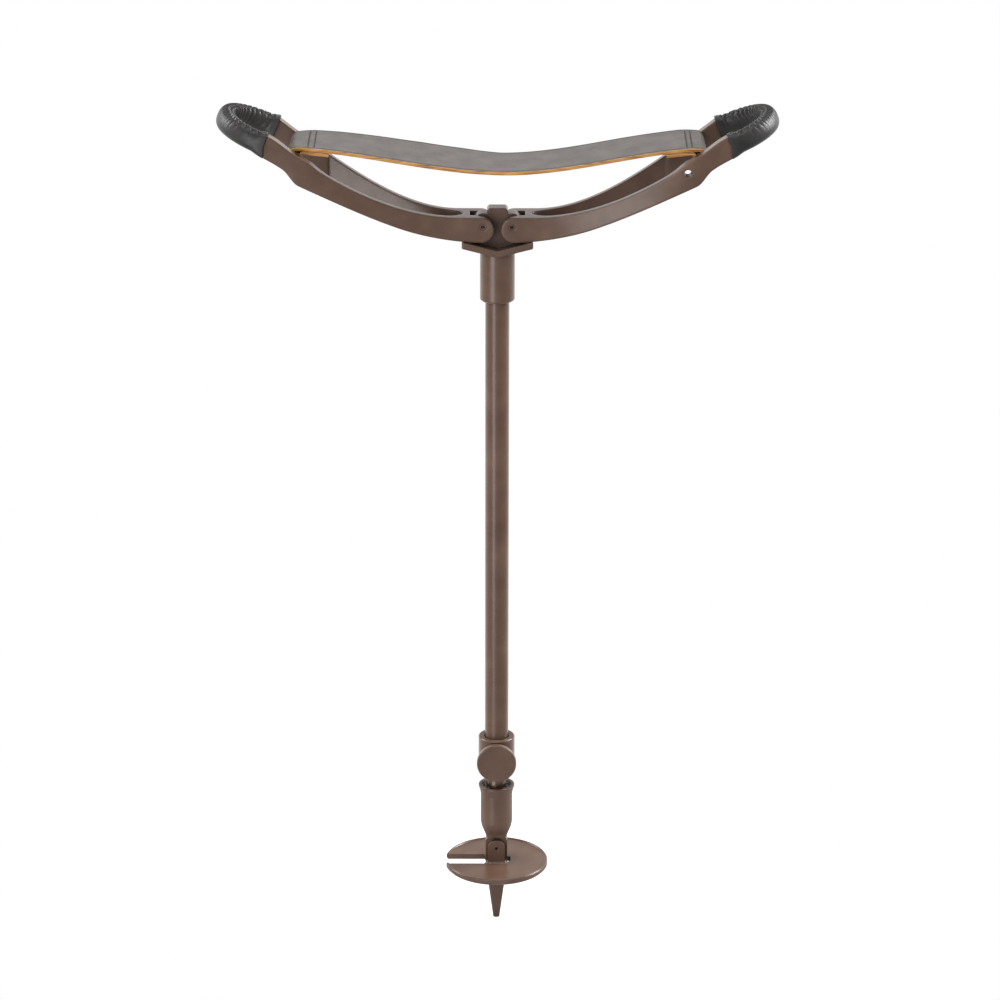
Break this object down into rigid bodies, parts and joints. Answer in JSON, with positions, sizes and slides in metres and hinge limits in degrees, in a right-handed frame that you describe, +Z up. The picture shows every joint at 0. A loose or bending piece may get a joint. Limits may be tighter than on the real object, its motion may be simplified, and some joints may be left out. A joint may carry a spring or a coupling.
{
  "type": "walking stick seat",
  "caption": "Folding seat stick: two hinged stirrup-shaped frames carry a leather strap seat on a telescopic stick with a clamp knob, a hinged ground disc and a flat spike.",
  "frame": {"origin": "on the stick's axis, in the plane of the ground disc's underside, which is the ground in use", "axes": "+Z up along the stick, +X towards the right-hand frame, -Y towards the clamp knob"},
  "size_m": [0.505, 0.098, 0.8011],
  "materials": {
    "frame_paint": "satin brown enamel",
    "foot_paint": "satin brown enamel",
    "bright_tube": "bright drawn tube",
    "pin_steel": "darkened spring steel",
    "black_plastic": "moulded",
    "strap_leather": "thick saddle leather, black face",
    "grip_leather": "thin smooth black leather",
    "thread": "waxed thread"
  },
  "bodies": {
    "foot": {"ferrule": "foot_paint", "inner_tube": "bright_tube", "inner_tube_plug": "black_plastic", "spike": "foot_paint"},
    "ground_disc": {"ground_disc": "foot_paint", "foot_pin": "pin_steel"},
    "stick": {"shaft_tube": "frame_paint", "hub": "frame_paint", "shaft_bush": "black_plastic", "clamp_collar": "frame_paint", "clamp_pad": "black_plastic", "seat_strap": "strap_leather"},
    "clamp": {"clamp_knob": "frame_paint", "clamp_screw": "pin_steel"},
    "left_half": {"left_frame": "frame_paint", "left_hinge_pin": "pin_steel", "left_strap_bar": "pin_steel", "left_grip": "grip_leather", "left_grip_lacing": "thread"},
    "right_half": {"right_frame": "frame_paint", "right_hinge_pin": "pin_steel", "right_strap_bar": "pin_steel", "right_grip": "grip_leather", "right_grip_lacing": "thread"}
  },
  "joints": [
    {"name": "telescope", "type": "slide", "parent": "foot", "child": "stick", "axis": [0, 0, 1], "range_m": [-0.014, 0.13]},
    {"name": "disc_swing", "type": "hinge", "parent": "foot", "child": "ground_disc", "pos_m": [0, 0, 0.0204], "axis": [0, -1, 0], "range_deg": [0, 88]},
    {"name": "clamp_turn", "type": "hinge", "parent": "stick", "child": "clamp", "pos_m": [0, -0.025, 0.1173], "axis": [0, -1, 0], "range_deg": [0, 360]},
    {"name": "left_fold", "type": "hinge", "parent": "stick", "child": "left_half", "pos_m": [-0.013, 0, 0.6392], "axis": [0, 1, 0], "range_deg": [0, 67], "deforming": ["seat_strap"]},
    {"name": "right_fold", "type": "hinge", "parent": "stick", "child": "right_half", "pos_m": [0.013, 0, 0.6392], "axis": [0, -1, 0], "range_deg": [0, 67], "deforming": ["seat_strap"]}
  ]
}
